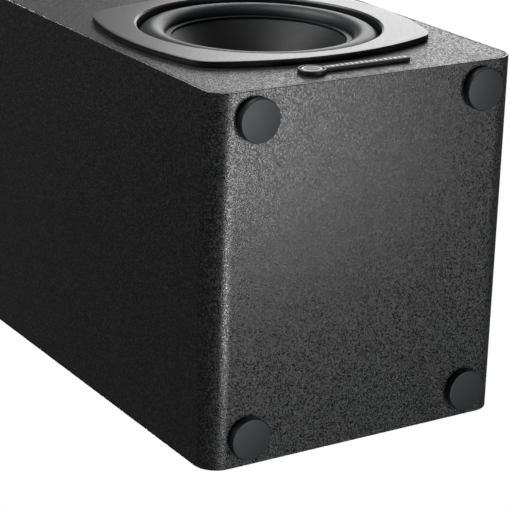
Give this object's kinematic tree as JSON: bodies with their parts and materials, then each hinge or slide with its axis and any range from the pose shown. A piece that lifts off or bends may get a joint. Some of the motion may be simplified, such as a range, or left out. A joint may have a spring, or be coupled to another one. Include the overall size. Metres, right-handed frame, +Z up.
{
  "type": "powered subwoofer",
  "caption": "Compact ported powered subwoofer: rounded textured cabinet, cone driver behind a squarish trim plate, flared port, rear amplifier panel, round rubber feet.",
  "frame": {"origin": "under the middle of the whole object, on the surface that its four feet stand on", "axes": "+Z up; -Y out of the front baffle; +X to the right as seen from the front"},
  "size_m": [0.2, 0.2356, 0.3255],
  "materials": {
    "vinyl_wrapped_board": "matte",
    "satin_trim": "satin",
    "rubber": "matte",
    "coated_paper": "matte",
    "board_wood": "matte",
    "wadding": "matte",
    "black_plastic": "satin",
    "clear_plastic": "gloss",
    "painted_steel": "satin",
    "bare_steel": "satin",
    "black_aluminium": "satin",
    "copper_coil": "satin",
    "ferrite": "matte",
    "spider_cloth": "matte",
    "circuit_board": "satin",
    "brass_plating": "polished",
    "red_plastic": "satin",
    "white_plastic": "satin",
    "foam": "matte"
  },
  "bodies": {
    "cabinet": {"cabinet_shell": "vinyl_wrapped_board", "front_baffle": "vinyl_wrapped_board", "rear_panel": "vinyl_wrapped_board", "trim_ring": "satin_trim", "foot_front_left": "rubber", "foot_front_right": "rubber", "foot_rear_left": "rubber", "foot_rear_right": "rubber", "surround": "rubber", "brace": "board_wood", "terminal_strip": "board_wood", "damping_pad": "wadding", "badge": "black_plastic", "port_tube": "black_plastic", "phase_switch": "black_plastic", "power_switch_frame": "black_plastic", "power_inlet": "black_plastic", "lead_negative": "black_plastic", "light_lens": "clear_plastic", "basket": "painted_steel", "amplifier_plate": "painted_steel", "driver_screw_1": "bare_steel", "driver_screw_2": "bare_steel", "driver_screw_3": "bare_steel", "driver_screw_4": "bare_steel", "top_plate": "bare_steel", "yoke": "bare_steel", "amplifier_screw_1": "bare_steel", "amplifier_screw_2": "bare_steel", "amplifier_screw_3": "bare_steel", "amplifier_screw_4": "bare_steel", "level_potentiometer": "bare_steel", "crossover_potentiometer": "bare_steel", "transformer_bolt": "bare_steel", "heat_sink": "black_aluminium", "capacitor_1": "black_aluminium", "capacitor_2": "black_aluminium", "transformer": "copper_coil", "magnet": "ferrite", "spider": "spider_cloth", "circuit_board": "circuit_board", "inlet_pin_left": "brass_plating", "inlet_pin_right": "brass_plating", "input_shell_left": "brass_plating", "input_shell_right": "brass_plating", "input_insert_right": "red_plastic", "lead_positive": "red_plastic", "input_insert_left": "white_plastic", "driver_gasket": "foam", "amplifier_gasket": "foam"},
    "cone": {"cone": "coated_paper", "dust_cap": "coated_paper", "voice_coil": "copper_coil"},
    "level_control": {"level_knob": "black_plastic", "level_shaft": "bare_steel"},
    "crossover_control": {"crossover_knob": "black_plastic", "crossover_shaft": "bare_steel"},
    "phase_lever": {"phase_lever": "white_plastic"},
    "power_rocker": {"power_rocker": "black_plastic"}
  },
  "joints": [
    {"name": "cone_travel", "type": "slide", "parent": "cabinet", "child": "cone", "axis": [0, -1, 0], "range_m": [-0.004, 0.004], "stiffness_N_per_m": 1200, "deforming": ["surround", "spider"]},
    {"name": "level_turn", "type": "hinge", "parent": "cabinet", "child": "level_control", "pos_m": [0.045, 0.1018, 0.165], "axis": [0, 1, 0], "range_deg": [-150, 150]},
    {"name": "crossover_turn", "type": "hinge", "parent": "cabinet", "child": "crossover_control", "pos_m": [0.008, 0.1018, 0.165], "axis": [0, 1, 0], "range_deg": [-150, 150]},
    {"name": "phase_slide", "type": "slide", "parent": "cabinet", "child": "phase_lever", "axis": [-1, 0, 0], "range_m": [0, 0.004]},
    {"name": "power_rock", "type": "hinge", "parent": "cabinet", "child": "power_rocker", "pos_m": [-0.044, 0.1048, 0.098], "axis": [0, 0, 1], "range_deg": [0, 16]}
  ]
}
